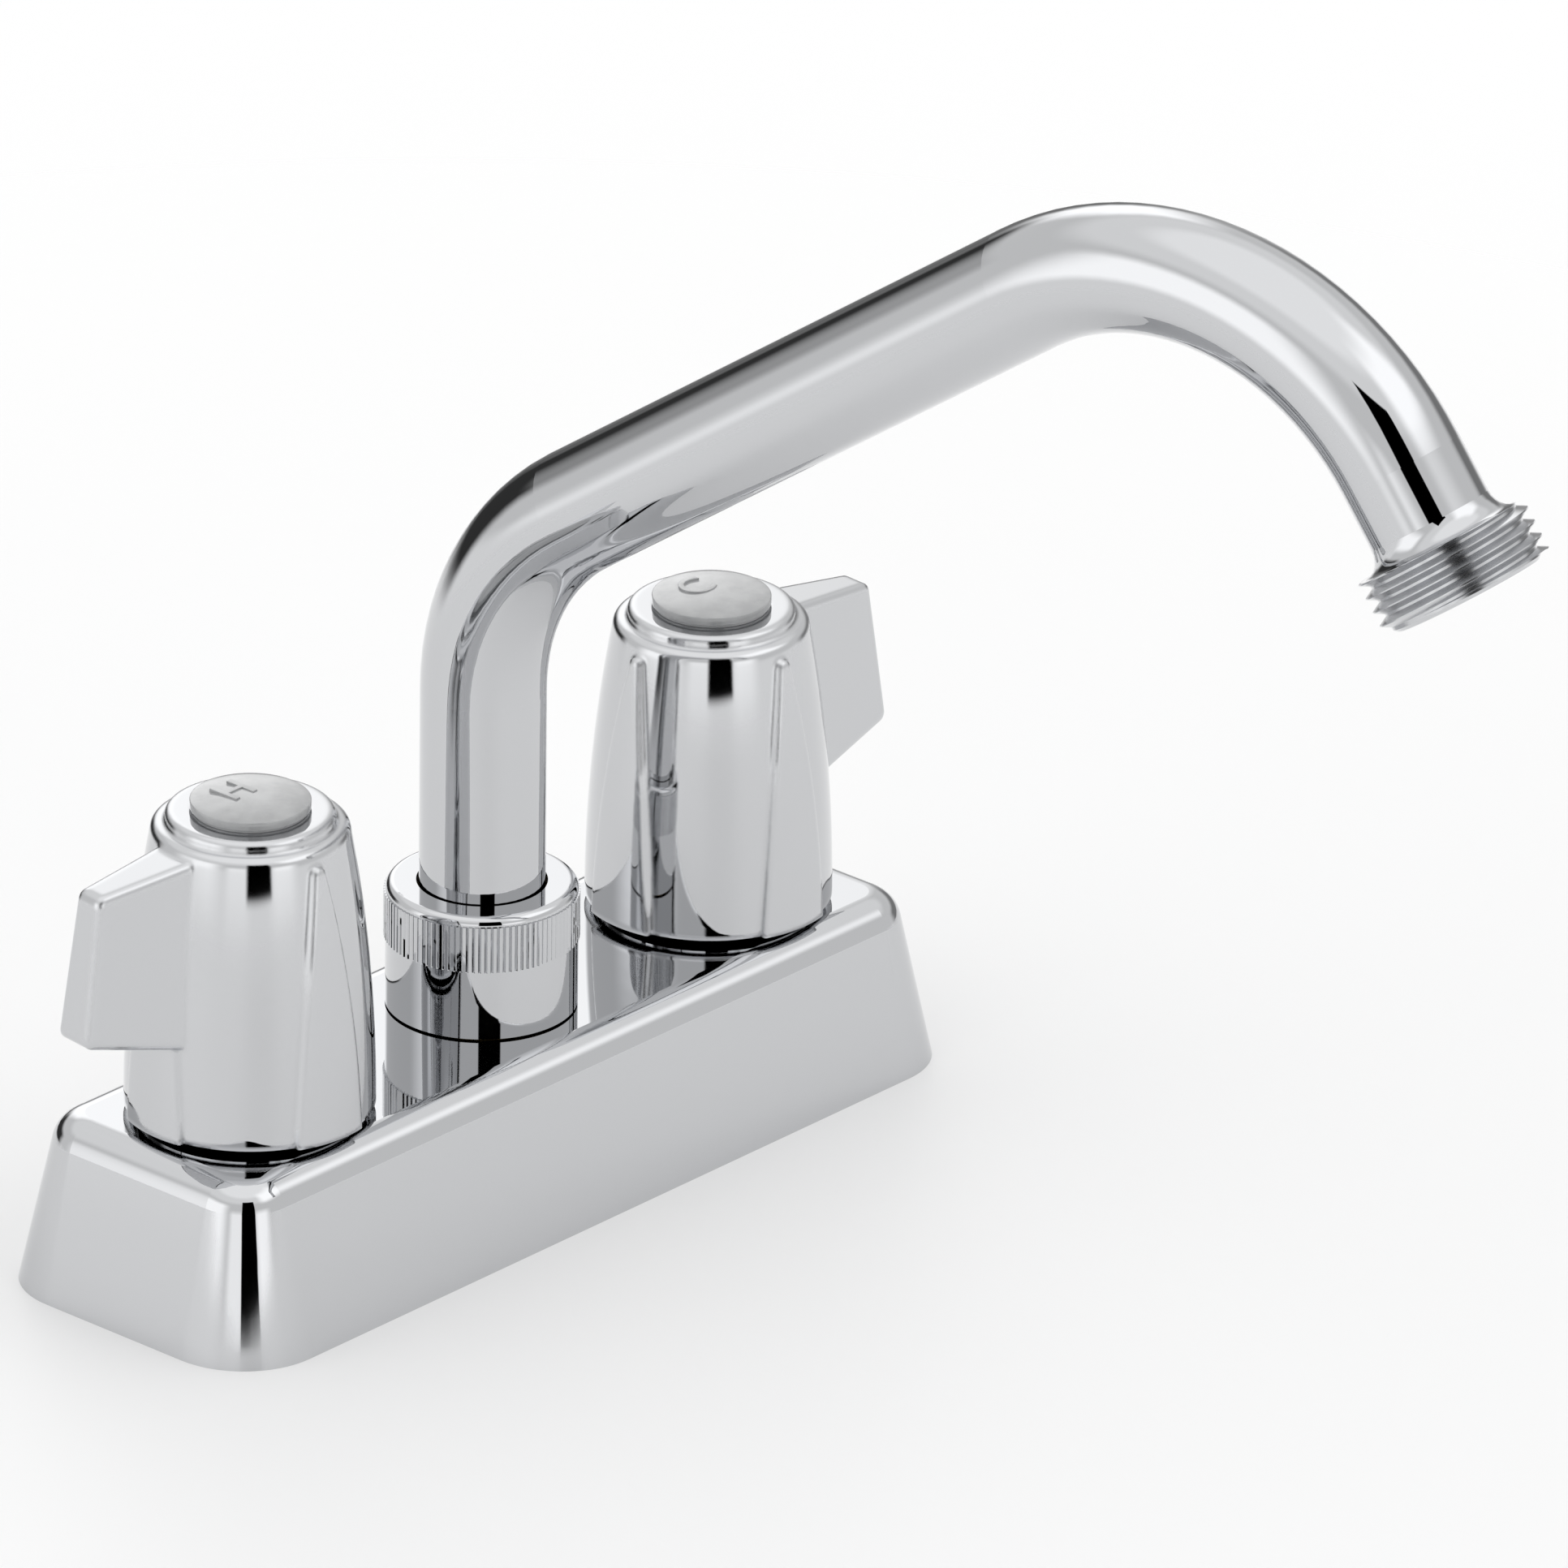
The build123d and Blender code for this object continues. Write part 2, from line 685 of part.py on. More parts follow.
    # One raised arch: a narrow pointed outline on a skin just outside the handle's wall
    with BuildPart() as arch:
        with BuildSketch(upright):
            with BuildLine():
                Polyline(
                    (handle_top_radius + arch_rise, handle_shoulder_height),
                    (0, handle_shoulder_height),
                    (0, handle_bottom),
                    (handle_bottom_radius + arch_rise, handle_bottom),
                )
                SagittaArc(
                    (handle_bottom_radius + arch_rise, handle_bottom),
                    (handle_top_radius + arch_rise, handle_shoulder_height),
                    -handle_bulge,
                )
            make_face()
        revolve(axis=axis)
        with BuildSketch(
            Plane(origin=centre, x_dir=up.cross(blade_way), z_dir=blade_way)
        ) as arch_outline:
            with BuildLine():
                Line((-arch_half_width, handle_bottom), (arch_half_width, handle_bottom))
                SagittaArc(
                    (arch_half_width, handle_bottom), (arch_tip_half_width, arch_top), -arch_bow
                )
                Line((arch_tip_half_width, arch_top), (-arch_tip_half_width, arch_top))
                SagittaArc(
                    (-arch_tip_half_width, arch_top), (-arch_half_width, handle_bottom), -arch_bow
                )
            make_face()
            fillet(arch_outline.vertices().sort_by(Axis.Y)[-2:], arch_tip_round)
        extrude(amount=handle_bottom_radius + 2 * arch_rise, mode=Mode.INTERSECT)
        split(bisect_by=Plane(origin=centre + blade_way * handle_boss_radius, z_dir=blade_way))
        outer_skin = arch.faces().sort_by(Axis(centre, blade_way))[-1]
        fillet(outer_skin.edges().filter_by(lambda edge: edge.center().Z > handle_bottom + arch_rise),
               arch_edge_round)

    # Blade: a drafted fin, thicker at its root and its foot, with every edge rounded
    blade_inner = handle_boss_radius
    blade_outer = blade_tip_low_reach + blade_edge_round
    blade_top = along(blade_inner, blade_root_top_reach, blade_root_top_height,
                      blade_tip_top_reach, blade_tip_top_height)
    blade_foot = along(blade_inner, blade_root_low_reach, blade_root_low_height,
                       blade_tip_low_reach, blade_tip_low_height)
    with BuildPart() as blade:
        for height, root_reach, root_half, tip_reach, tip_half in (
            (blade_foot, blade_root_low_reach, blade_root_low_half, blade_tip_low_reach, blade_tip_low_half),
            (blade_top, blade_root_top_reach, blade_root_top_half, blade_tip_top_reach, blade_tip_top_half),
        ):
            inner_half = along(blade_inner, root_reach, root_half, tip_reach, tip_half)
            outer_half = along(blade_outer, root_reach, root_half, tip_reach, tip_half)
            with BuildSketch(Plane(origin=centre + up * height, x_dir=blade_way, z_dir=up)):
                with BuildLine():
                    Polyline(
                        (blade_inner, -inner_half),
                        (blade_outer, -outer_half),
                        (blade_outer, outer_half),
                        (blade_inner, inner_half),
                        close=True,
                    )
                make_face()
        loft()
        with BuildSketch(Plane(origin=centre, x_dir=blade_way, z_dir=blade_way.cross(up))) as outline:
            with BuildLine():
                Polyline(
                    (blade_inner, blade_top),
                    (blade_inner, blade_foot),
                    (blade_tip_low_reach, blade_tip_low_height),
                    (blade_tip_top_reach, blade_tip_top_height),
                    close=True,
                )
            make_face()
            fillet(outline.vertices().sort_by(Axis.X)[-2:], blade_corner_round)
        extrude(amount=2 * blade_root_low_half, both=True, mode=Mode.INTERSECT)
        rim = blade.edges().filter_by(
            lambda edge: (edge.center() - centre).dot(blade_way) > handle_top_radius
        )
        side_faces = blade.faces().sort_by(Axis(centre, blade_way.cross(up)))
        side_rims = side_faces[0].edges() + side_faces[-1].edges()
        fillet([edge for edge in rim if edge in side_rims], blade_edge_round)

    # Handle: hub, arches and blade in one casting, hollow below, with a splined boss inside
    with BuildPart() as handle:
        with BuildSketch(upright):
            with BuildLine():
                Polyline(
                    (handle_top_radius, handle_shoulder_height),
                    (handle_disc_radius, handle_shoulder_height),
                    (handle_disc_radius, handle_disc_height),
                    (0, handle_disc_height),
                    (0, handle_bottom),
                    (handle_bottom_radius, handle_bottom),
                )
                SagittaArc(
                    (handle_bottom_radius, handle_bottom),
                    (handle_top_radius, handle_shoulder_height),
                    -handle_bulge,
                )
            make_face()
        revolve(axis=axis)
        rings = handle.edges().filter_by(GeomType.CIRCLE).group_by(Axis.Z)
        fillet(rings[-1], handle_disc_round)
        rings = handle.edges().filter_by(GeomType.CIRCLE)
        shoulder = rings.filter_by_position(Axis.Z, handle_shoulder_height, handle_shoulder_height)
        fillet(shoulder.sort_by(SortBy.LENGTH)[-1], handle_shoulder_round)
        for place in range(arch_count):
            add(arch.part.rotate(axis, place * 360 / arch_count))
        add(blade.part)
        with BuildSketch(upright):
            with BuildLine():
                Polyline(
                    (handle_top_radius - handle_wall, handle_shoulder_height),
                    (0, handle_shoulder_height),
                    (0, handle_bottom),
                    (handle_bottom_radius - handle_wall, handle_bottom),
                )
                SagittaArc(
                    (handle_bottom_radius - handle_wall, handle_bottom),
                    (handle_top_radius - handle_wall, handle_shoulder_height),
                    -handle_bulge,
                )
            make_face()
            with Locations((0, handle_hollow_top)):
                Rectangle(2 * handle_bottom_radius, handle_disc_height - handle_hollow_top,
                          align=(Align.CENTER, Align.MIN), mode=Mode.SUBTRACT)
            with Locations((0, handle_boss_bottom)):
                Rectangle(2 * handle_boss_radius, handle_disc_height - handle_boss_bottom,
                          align=(Align.CENTER, Align.MIN), mode=Mode.SUBTRACT)
        revolve(axis=axis, mode=Mode.SUBTRACT)
        for base, top, radius in (
            (handle_boss_bottom, stem_top + rest_gap, stem_spline_radius + turned_fit),
            (stem_top + rest_gap, handle_web_top, handle_screw_hole_radius),
            (handle_web_top, handle_disc_height, handle_recess_radius),
        ):
            with BuildSketch(level.offset(base)):
                Circle(radius)
            extrude(amount=top - base, mode=Mode.SUBTRACT)
    handle.part.label = side + "_handle"
    export_step(handle.part, "parts/" + side + "_handle.step")

    # Handle screw, down through the boss into the stem
    with BuildPart() as handle_screw:
        with BuildSketch(level.offset(handle_web_top)):
            Circle(screw_head_radius)
        extrude(amount=screw_head_height)
        chamfer(handle_screw.faces().sort_by(Axis.Z)[-1].edges(), screw_head_chamfer)
        with BuildSketch(level.offset(handle_web_top)):
            Circle(screw_radius)
        extrude(amount=-screw_length)
        with BuildSketch(level.offset(handle_web_top + screw_head_height)):
            Rectangle(2 * screw_head_radius, screw_slot_width)
        extrude(amount=-screw_slot_depth, mode=Mode.SUBTRACT)
    handle_screw.part.label = side + "_handle_screw"
    export_step(handle_screw.part, "parts/" + side + "_handle_screw.step")

    # Index button: a clear domed cap with a plug that sits in the handle's recess
    dome_edge_height = handle_disc_height + button_side_height
    dome_radius = (button_radius**2 + button_dome_height**2) / (2 * button_dome_height)
    dome_turn = math.asin(button_radius / dome_radius) / 2
    dome_middle = (
        dome_radius * math.sin(dome_turn),
        dome_edge_height + button_dome_height - dome_radius * (1 - math.cos(dome_turn)),
    )
    with BuildPart() as index_button:
        with BuildSketch(upright):
            with BuildLine():
                Polyline(
                    (0, dome_edge_height + button_dome_height),
                    (0, handle_disc_height - button_plug_depth),
                    (handle_recess_radius - turned_fit, handle_disc_height - button_plug_depth),
                    (handle_recess_radius - turned_fit, handle_disc_height),
                    (button_radius, handle_disc_height),
                    (button_radius, dome_edge_height),
                )
                ThreePointArc(
                    (button_radius, dome_edge_height),
                    dome_middle,
                    (0, dome_edge_height + button_dome_height),
                )
            make_face()
        revolve(axis=axis)
        edge_ring = index_button.edges().filter_by(GeomType.CIRCLE)
        edge_ring = edge_ring.filter_by_position(Axis.Z, dome_edge_height, dome_edge_height)
        fillet(edge_ring, button_edge_round)
    index_button.part.label = side + "_index_button"
    export_step(index_button.part, "parts/" + side + "_index_button.step")

# Lock washers under the sink deck
with BuildPart() as lock_washers:
    with BuildSketch(Plane.XY.offset(-sink_deck_thickness)):
        with Locations((-half_spacing, 0), (half_spacing, 0)):
            Circle(lock_washer_radius)
            Circle(shank_radius + rest_gap, mode=Mode.SUBTRACT)
    extrude(amount=-lock_washer_thickness)
lock_washers.part.label = "lock_washers"
export_step(lock_washers.part, "parts/lock_washers.step")

# Lock nuts that draw the shanks down
with BuildPart() as lock_nuts:
    with BuildSketch(Plane.XY.offset(-sink_deck_thickness - lock_washer_thickness)):
        with Locations((-half_spacing, 0), (half_spacing, 0)):
            RegularPolygon(lock_nut_flats / 2, 6, major_radius=False)
            Circle(shank_radius + thread_fit, mode=Mode.SUBTRACT)
    extrude(amount=-lock_nut_height)
    chamfer(lock_nuts.faces().group_by(Axis.Z)[0].edges(), lock_nut_chamfer)
lock_nuts.part.label = "lock_nuts"
export_step(lock_nuts.part, "parts/lock_nuts.step")
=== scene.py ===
import bpy
import json
import math
from mathutils import Matrix, Vector


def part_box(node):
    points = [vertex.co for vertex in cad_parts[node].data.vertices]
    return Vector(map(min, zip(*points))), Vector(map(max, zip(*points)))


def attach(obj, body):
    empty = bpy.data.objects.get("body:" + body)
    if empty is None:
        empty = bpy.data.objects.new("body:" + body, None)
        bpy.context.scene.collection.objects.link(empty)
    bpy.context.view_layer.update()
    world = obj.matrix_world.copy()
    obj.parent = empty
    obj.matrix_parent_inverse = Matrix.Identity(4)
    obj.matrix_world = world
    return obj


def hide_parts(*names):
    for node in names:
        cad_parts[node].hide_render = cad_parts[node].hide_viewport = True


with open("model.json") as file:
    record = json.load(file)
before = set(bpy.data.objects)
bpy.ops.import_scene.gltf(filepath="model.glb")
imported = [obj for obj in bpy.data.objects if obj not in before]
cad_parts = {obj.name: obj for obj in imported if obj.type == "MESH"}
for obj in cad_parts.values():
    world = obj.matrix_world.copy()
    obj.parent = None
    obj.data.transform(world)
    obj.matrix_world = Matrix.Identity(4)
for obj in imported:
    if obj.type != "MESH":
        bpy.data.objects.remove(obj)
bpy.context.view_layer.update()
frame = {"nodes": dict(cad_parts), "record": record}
scene = bpy.context.scene
mm = 0.001

# camera: the photograph's view, worked out from the handle, nut and base outlines
camera = {
    "turn": 48.34,  # degrees from +Y towards +X that the view looks
    "tilt": 24.61,  # degrees that the view looks down
    "roll": 0.75,
    "distance": 3.4895,
    "right": 0.0458,
    "up": 0.0572,
    "focal": 28535.65,  # in pixels of a picture 1932 wide
    "picture": 1932,
    "sensor": 36.0,
    "near": 0.1,  # metres that it sees from and to
    "far": 100.0,
}


def addCamera():
    turn, tilt, roll = (math.radians(camera[key]) for key in ("turn", "tilt", "roll"))
    level = Vector((math.sin(turn), math.cos(turn), 0))
    right = Vector((math.cos(turn), -math.sin(turn), 0))
    ahead = level * math.cos(tilt) - Vector((0, 0, 1)) * math.sin(tilt)
    top = level * math.sin(tilt) + Vector((0, 0, 1)) * math.cos(tilt)
    right, top = (
        right * math.cos(roll) + top * math.sin(roll),
        top * math.cos(roll) - right * math.sin(roll),
    )
    data = bpy.data.cameras.new("camera")
    data.sensor_width = camera["sensor"]
    data.lens = camera["focal"] / camera["picture"] * camera["sensor"]
    data.clip_start = camera["near"]
    data.clip_end = camera["far"]
    eye = bpy.data.objects.new("camera", data)
    scene.collection.objects.link(eye)
    eye.matrix_world = Matrix.Translation(
        right * camera["right"] + top * camera["up"] - ahead * camera["distance"]
    ) @ Matrix((right, top, -ahead)).transposed().to_4x4()
    scene.camera = eye


addCamera()
print("camera set")


def linear(hexColour):
    # sRGB hex to the linear colour that a shader takes
    parts = [int(hexColour[i:i + 2], 16) / 255 for i in (1, 3, 5)]
    return [p / 12.92 if p <= 0.04045 else ((p + 0.055) / 1.055) ** 2.4 for p in parts] + [1.0]


def addNode(tree, kind, settings=None, links=None):
    # settings name an attribute, or an input by name or number; links feed inputs from outputs
    node = tree.nodes.new(kind)
    for key, value in (settings or {}).items():
        if isinstance(key, int) or key in node.inputs:
            node.inputs[key].default_value = value
        else:
            setattr(node, key, value)
    for key, output in (links or {}).items():
        tree.links.new(output, node.inputs[key])
    return node


def smoothStep(tree, value, start, end):
    # 0 before start, 1 after end
    node = addNode(
        tree, "ShaderNodeMapRange",
        {"From Min": start, "From Max": end, "interpolation_type": "SMOOTHSTEP"},
        {"Value": value},
    )
    return node.outputs[0]


def newMaterial(name, settings):
    # settings name inputs of its shader
    material = bpy.data.materials.new(name)
    material.use_nodes = True
    shader = material.node_tree.nodes["Principled BSDF"]
    for key, value in settings.items():
        shader.inputs[key].default_value = value
    return material, material.node_tree, shader


def placeOn(tree):
    # where a point is on its piece, in metres, for textures
    return addNode(tree, "ShaderNodeTexCoord").outputs["Object"]


# studio: a pale room with white and dark cards round it, for the metal to mirror
studio = {
    "below": 1.0,  # light under the horizon, low on the walls, higher up and overhead
    "low": 0.8,
    "middle": 1.0,
    "high": 1.2,
    "belowTo": -7.0,  # degrees above the horizon at which one gives way to the next
    "lowFrom": 0.0,
    "lowTo": 30.0,
    "middleFrom": 42.0,
    "middleTo": 50.0,
    "highFrom": 62.0,
    "seen": 1.0,  # what the camera sees behind the faucet
}
# turns are degrees from +X towards +Y, heights degrees above the horizon; width is half of a
# card's, and soft and edge are how far it fades sideways and up and down
cards = [
    {"turn": 162, "width": 24, "soft": 12, "from": -7, "to": 27, "edge": 6, "light": 1.5},
    {"turn": 52, "width": 13, "soft": 8, "from": 8, "to": 34, "edge": 5, "light": 1.6},
    {"turn": 259, "width": 13, "soft": 8, "from": -7, "to": 10, "edge": 6, "light": 1.45},
    {"turn": 209, "width": 12, "soft": 6, "from": -7, "to": 10, "edge": 6, "light": 1.3},
    {"turn": 300, "width": 34, "soft": 12, "from": 34, "to": 62, "edge": 8, "light": 1.6},
    {"turn": 52, "width": 16, "soft": 8, "from": -16, "to": 3, "edge": 5, "light": 0.2},
    {"turn": 84, "width": 23, "soft": 8, "from": -12, "to": 14, "edge": 5, "light": 0.04},
    {"turn": 8, "width": 26, "soft": 10, "from": -8, "to": 13, "edge": 6, "light": 0.25},
    {"turn": 232.5, "width": 13.3, "soft": 0.8, "from": -7, "to": 42, "edge": 0.7, "light": 0.0},
]


table = {
    "radius": 0.5,  # metres
    "fadeFrom": 0.16,
    "height": 0.0001,  # just inside the gasket, so that the two don't share a face
    "sides": 128,
    "colour": "#F7F7F7",
    "roughness": 0.5,
    "index": 1.4,
}


def deselect():
    bpy.ops.object.select_all(action="DESELECT")


def addRoom():
    world = bpy.data.worlds.new("studio")
    scene.world = world
    world.use_nodes = True
    tree = world.node_tree
    tree.nodes.clear()

    def maths(operation, first, second, third=None):
        node = addNode(tree, "ShaderNodeMath", {"operation": operation})
        for number, value in enumerate((first, second, third)):
            if value is None:
                continue
            if isinstance(value, (int, float)):
                node.inputs[number].default_value = value
            else:
                tree.links.new(value, node.inputs[number])
        return node.outputs[0]

    def step(value, start, end):
        # start and end in degrees
        return smoothStep(tree, value, math.radians(start), math.radians(end))

    def blend(share, first, second):
        return maths("MULTIPLY_ADD", share, maths("SUBTRACT", second, first), first)

    way = addNode(tree, "ShaderNodeTexCoord").outputs["Generated"]
    split = addNode(tree, "ShaderNodeSeparateXYZ", None, {0: way})
    height = maths("ARCSINE", split.outputs["Z"], None)
    turn = maths("ARCTAN2", split.outputs["Y"], split.outputs["X"])
    glow = blend(
        step(height, studio["belowTo"], studio["lowFrom"]), studio["below"], studio["low"]
    )
    glow = blend(step(height, studio["lowTo"], studio["middleFrom"]), glow, studio["middle"])
    glow = blend(step(height, studio["middleTo"], studio["highFrom"]), glow, studio["high"])
    for card in cards:
        away = maths("SUBTRACT", turn, math.radians(card["turn"]))
        away = maths("ABSOLUTE", maths("WRAP", away, math.pi, -math.pi), None)
        inside = step(away, card["width"] + card["soft"], card["width"] - card["soft"])
        above = step(height, card["from"] - card["edge"], card["from"] + card["edge"])
        below = step(height, card["to"] + card["edge"], card["to"] - card["edge"])
        inside = maths("MULTIPLY", inside, maths("MULTIPLY", above, below))
        glow = blend(inside, glow, card["light"])
    seen = addNode(tree, "ShaderNodeLightPath").outputs["Is Camera Ray"]
    shade = addNode(
        tree, "ShaderNodeBackground", {"Color": (1, 1, 1, 1)},
        {"Strength": blend(seen, glow, studio["seen"])},
    )
    addNode(tree, "ShaderNodeOutputWorld", None, {"Surface": shade.outputs[0]})


def addFloor():
    deselect()
    bpy.ops.mesh.primitive_circle_add(
        vertices=table["sides"], radius=table["radius"], fill_type="NGON",
        location=(0, 0, table["height"]),
    )
    floor = bpy.context.object
    floor.name = "floor"
    # a white painted table top, even and dull, that fades into the white of the room
    paint, tree, shader = newMaterial("white_table", {
        "Base Color": linear(table["colour"]),
        "Roughness": table["roughness"],
        "IOR": table["index"],
    })
    away = addNode(tree, "ShaderNodeVectorMath", {"operation": "LENGTH"}, {0: placeOn(tree)})
    fade = smoothStep(tree, away.outputs["Value"], table["fadeFrom"], table["radius"])
    clear = addNode(tree, "ShaderNodeBsdfTransparent")
    both = addNode(
        tree, "ShaderNodeMixShader", None, {0: fade, 1: shader.outputs[0], 2: clear.outputs[0]}
    )
    tree.links.new(both.outputs[0], tree.nodes["Material Output"].inputs["Surface"])
    floor.data.materials.append(paint)


addRoom()
addFloor()
scene.view_settings.view_transform = "Standard"
scene.view_settings.look = "None"
print("studio set")


chrome = {
    "colour": "#CBCCCE",
    "mirror": (0.015, 0.04),  # roughness from and to: buffed
    "satin": (0.16, 0.26),  # over a cut thread, which no wheel reaches
    "worn": 1.5 * mm,  # how far the wheel rounds a casting's edges
}


def addNoise(tree, scale, detail, stretch=None):
    # patches about 1/scale metres wide, drawn out along the axes where stretch is under 1
    place = placeOn(tree)
    if stretch:
        place = addNode(tree, "ShaderNodeMapping", {"Scale": stretch}, {"Vector": place}).outputs[0]
    noise = addNode(
        tree, "ShaderNodeTexNoise", {"Scale": scale, "Detail": detail}, {"Vector": place}
    )
    return noise.outputs[0]


def widen(tree, value, start, end):
    # 0 where value is start, 1 where it is end
    node = addNode(
        tree, "ShaderNodeMapRange", {"From Min": start, "From Max": end}, {"Value": value}
    )
    return node.outputs[0]


def colourBy(tree, shader, share, first, second):
    # the colour goes from first to second as share goes from 0 to 1
    colour = addNode(
        tree, "ShaderNodeMix",
        {"data_type": "RGBA", 6: linear(first), 7: linear(second)},
        {0: share},
    )
    tree.links.new(colour.outputs[2], shader.inputs["Base Color"])


def roughBy(tree, shader, value, rough, span=(0, 1)):
    # the roughness goes from rough[0] to rough[1] as value goes from span[0] to span[1]
    node = addNode(
        tree, "ShaderNodeMapRange",
        {"From Min": span[0], "From Max": span[1], "To Min": rough[0], "To Max": rough[1]},
        {"Value": value},
    )
    tree.links.new(node.outputs[0], shader.inputs["Roughness"])


def reliefBy(tree, shader, height, settings):
    # small bumps that follow height
    node = addNode(tree, "ShaderNodeBump", settings, {"Height": height})
    tree.links.new(node.outputs[0], shader.inputs["Normal"])


def platedChrome(name, rounding, shine):
    # bright chrome over polished metal: a hard mirror with the faintest buffing haze, its edges
    # rounded by the polishing wheel before it was plated
    material, tree, shader = newMaterial(
        name, {"Base Color": linear(chrome["colour"]), "Metallic": 1.0}
    )
    roughBy(tree, shader, addNoise(tree, 60.0, 3.0), shine, span=(0.3, 0.7))
    if rounding:
        soft = addNode(tree, "ShaderNodeBevel", {"samples": 12, "Radius": rounding})
        tree.links.new(soft.outputs[0], shader.inputs["Normal"])
    return material


wavePeriod = 2 * math.pi / 20  # a wave texture's period at scale 1


def turnedBrass():
    # brass turned on a lathe: yellow, slightly dulled, with tool rings round the axis; the real
    # feed of 0.2 mm is drawn as 0.5 mm so that it shows
    material, tree, shader = newMaterial("turned_brass", {"Metallic": 1.0})
    rings = addNode(
        tree, "ShaderNodeTexWave",
        {"wave_type": "BANDS", "bands_direction": "Z", "Scale": wavePeriod / (0.5 * mm),
         "Distortion": 0.4, "Detail": 1.0},
        {"Vector": placeOn(tree)},
    ).outputs[1]
    colourBy(tree, shader, addNoise(tree, 140.0, 4.0), "#B8924C", "#D6B56C")
    roughBy(tree, shader, rings, (0.2, 0.36))
    reliefBy(tree, shader, rings, {"Strength": 0.25, "Distance": 0.02 * mm})
    return material


def drawnCopper():
    # copper tube drawn through a die: red, bright, with brown bloom in clouds about 4 mm wide
    material, tree, shader = newMaterial("drawn_copper", {"Metallic": 1.0})
    colourBy(tree, shader, addNoise(tree, 250.0, 5.0), "#8C4B30", "#D08A66")
    roughBy(tree, shader, addNoise(tree, 2200.0, 2.0, stretch=(0.06, 1, 1)), (0.18, 0.42))
    return material


def tumbledStainless():
    # stainless sheet and wire, tumbled: grey, with short random scratches about 0.3 mm wide
    material, tree, shader = newMaterial("tumbled_stainless", {"Metallic": 1.0})
    scratch = addNoise(tree, 3000.0, 3.0, stretch=(1, 0.15, 1))
    colourBy(tree, shader, scratch, "#9C9D9E", "#C4C4C2")
    roughBy(tree, shader, scratch, (0.2, 0.45))
    return material


def mouldedAcetal():
    # acetal, injection moulded: milky white, waxy, with a fine mould grain of about 0.4 mm
    material, tree, shader = newMaterial("moulded_acetal", {"IOR": 1.48})
    colourBy(tree, shader, addNoise(tree, 200.0, 2.0), "#DEDCD4", "#F0EEE8")
    roughBy(tree, shader, addNoise(tree, 2500.0, 2.0), (0.32, 0.48))
    return material


def mouldedNitrile():
    # nitrile rubber from a mould: near black, dull, with a dusty bloom in patches about 2 mm wide
    material, tree, shader = newMaterial("moulded_nitrile", {"IOR": 1.52})
    bloom = addNoise(tree, 500.0, 4.0)
    colourBy(tree, shader, bloom, "#161617", "#2A2A2B")
    roughBy(tree, shader, bloom, (0.45, 0.7))
    return material


def pressedFibre():
    # fibre gasket sheet, pressed and die cut: slate grey and dull, with pale fibres about 1 mm long
    material, tree, shader = newMaterial("pressed_fibre_sheet", {"IOR": 1.5})
    fibres = addNode(
        tree, "ShaderNodeTexVoronoi", {"Scale": 900.0, "feature": "DISTANCE_TO_EDGE"},
        {"Vector": placeOn(tree)},
    )
    between = widen(tree, fibres.outputs[0], 0, 0.12)
    colourBy(tree, shader, between, "#77797A", "#494B4D")
    roughBy(tree, shader, between, (0.9, 0.72))
    reliefBy(tree, shader, between, {"Strength": 0.3, "Distance": 0.05 * mm, "invert": True})
    return material


def mouldedAcrylic():
    # clear acrylic over a foiled back: glassy outside, a milky grey inside that clouds from spot
    # to spot, about 3 mm wide
    material, tree, shader = newMaterial("moulded_acrylic", {
        "IOR": 1.49,
        "Transmission Weight": 0.2,
        "Coat Weight": 1.0,
        "Coat Roughness": 0.03,
    })
    cloud = addNoise(tree, 330.0, 3.0)
    colourBy(tree, shader, widen(tree, cloud, 0.35, 0.65), "#ADAEAF", "#BCBDBE")
    roughBy(tree, shader, cloud, (0.1, 0.2))
    return material


finishes = {
    "chrome_plate": platedChrome("plated_chrome", 0, chrome["mirror"]),
    "brass": turnedBrass(),
    "copper_tube": drawnCopper(),
    "stainless_steel": tumbledStainless(),
    "acetal": mouldedAcetal(),
    "nitrile_rubber": mouldedNitrile(),
    "fibre_gasket": pressedFibre(),
    "clear_acrylic": mouldedAcrylic(),
}
slots = {part["node"]: part["material_slot"] for part in frame["record"]["subparts"]}
for name, node in frame["nodes"].items():
    node.data.materials.clear()
    node.data.materials.append(finishes[slots[name]])
castChrome = platedChrome("plated_chrome_on_casting", chrome["worn"], chrome["mirror"])
threadChrome = platedChrome("plated_chrome_on_thread", 0, chrome["satin"])
for side in ("hot", "cold"):
    frame["nodes"][side + "_handle"].data.materials[0] = castChrome
    # the nuts under the handles are brass with the same plating as the deck
    frame["nodes"][side + "_bonnet_nut"].data.materials[0] = finishes["chrome_plate"]
print("finishes set")


def only(piece):
    deselect()
    piece.select_set(True)
    bpy.context.view_layer.objects.active = piece


def applyAll(piece):
    only(piece)
    for modifier in list(piece.modifiers):
        bpy.ops.object.modifier_apply(modifier=modifier.name)


facing = 0.5  # the upward or downward share of a face's normal that makes it a top or an underside
mergeWithin = 0.0002 * mm


def selectFaces(piece, wanted):
    # in edit mode: selects the faces that wanted(face) names, and nothing else
    bpy.ops.mesh.select_mode(type="FACE")
    bpy.ops.mesh.select_all(action="DESELECT")
    bpy.ops.object.mode_set(mode="OBJECT")
    for face in piece.data.polygons:
        face.select = wanted(face)
    bpy.ops.object.mode_set(mode="EDIT")


